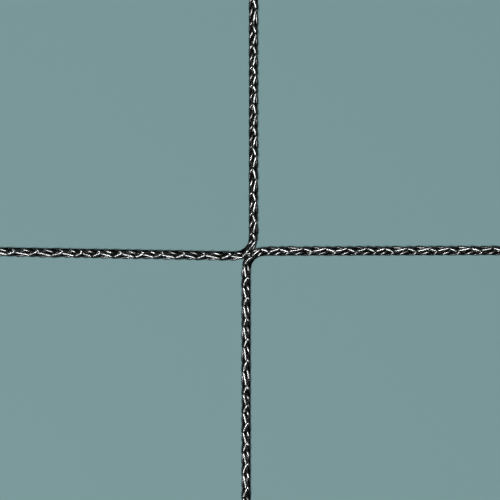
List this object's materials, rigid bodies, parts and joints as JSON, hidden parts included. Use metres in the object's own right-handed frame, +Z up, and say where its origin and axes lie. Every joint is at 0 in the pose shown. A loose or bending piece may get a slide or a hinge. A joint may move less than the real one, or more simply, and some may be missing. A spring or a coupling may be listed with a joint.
{
  "type": "safety net",
  "caption": "Flat cut piece of black knotless square-mesh safety netting: braided cords run both ways, join side by side at each crossing and end in sealed tips.",
  "frame": {"origin": "under the central crossing, in the middle of the piece's underside, on the surface it lies on", "axes": "+Z up from the surface; +X and +Y along the two directions of the legs; each wale climbs in steps from -X -Y towards +X +Y"},
  "size_m": [0.3, 0.3, 0.0038],
  "materials": {
    "netting_cord": "glossy black filament yarn in a round braid"
  },
  "bodies": {
    "root": {"netting": "netting_cord"}
  },
  "joints": []
}
